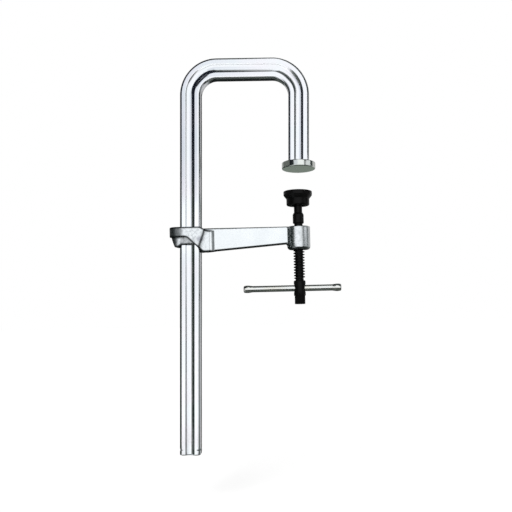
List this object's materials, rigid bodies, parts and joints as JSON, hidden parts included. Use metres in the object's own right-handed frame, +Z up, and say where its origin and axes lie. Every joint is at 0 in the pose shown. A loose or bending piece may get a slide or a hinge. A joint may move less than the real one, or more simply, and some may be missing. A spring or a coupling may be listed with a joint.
{
  "type": "welding clamp",
  "caption": "Step-over screw clamp for welding: a U-bent double-T rail with a fixed anvil, a forged sliding arm, and a spindle with a swivel pad and a tommy bar.",
  "frame": {"origin": "on the screw's axis, in the plane of the fixed anvil's working face", "axes": "+Z up along the screw, from the swivel pad towards the anvil; +X from the rail towards the screw; Y across the rail's thickness. The rail leans 1.3 degrees from Z in the XZ plane, because the arm hangs askew on it by its play."},
  "size_m": [0.2447, 0.048, 0.5671],
  "materials": {
    "rail_zinc": "bright zinc plating, lightly drawn along the bar",
    "forged_zinc": "satin zinc plating over a fine forged skin",
    "black_oxide": "satin black oxide with a film of oil",
    "bar_steel": "bright drawn steel with a faint yellow passivation",
    "anvil_zinc": "matt zinc on a turned steel disc",
    "ground_steel": "ground and hardened",
    "spring_steel": "dark phosphated spring steel"
  },
  "bodies": {
    "rail_frame": {"rail": "rail_zinc", "anvil_disc": "anvil_zinc"},
    "arm": {"sliding_arm": "forged_zinc"},
    "seat": {"thrust_bush": "ground_steel"},
    "spindle": {"spindle": "black_oxide", "stop_sleeve": "black_oxide", "journal_clip": "spring_steel"},
    "bar": {"tommy_bar": "bar_steel"},
    "pad": {"pressure_pad": "black_oxide", "pad_snap_ring": "spring_steel"}
  },
  "joints": [
    {"name": "arm_slide", "type": "slide", "parent": "rail_frame", "child": "arm", "axis": [0.0227, 0, 0.9997], "range_m": [-0.28, 0]},
    {"name": "spindle_travel", "type": "slide", "parent": "arm", "child": "seat", "axis": [0, 0, 1], "range_m": [-0.0038, 0.02805]},
    {"name": "spindle_turn", "type": "hinge", "parent": "seat", "child": "spindle", "pos_m": [0, 0, -0.045], "axis": [0, 0, 1], "range_deg": [-340, 2520]},
    {"name": "bar_slide", "type": "slide", "parent": "spindle", "child": "bar", "axis": [1, 0, 0], "range_m": [-0.036, 0.057]},
    {"name": "pad_tilt", "type": "hinge", "parent": "seat", "child": "pad", "pos_m": [0, 0, -0.045], "axis": [0, 1, 0], "range_deg": [-10, 10]}
  ],
  "couplings": [
    {"joint": "spindle_travel", "follows": "spindle_turn", "m_per_rad": 0.00063662}
  ]
}
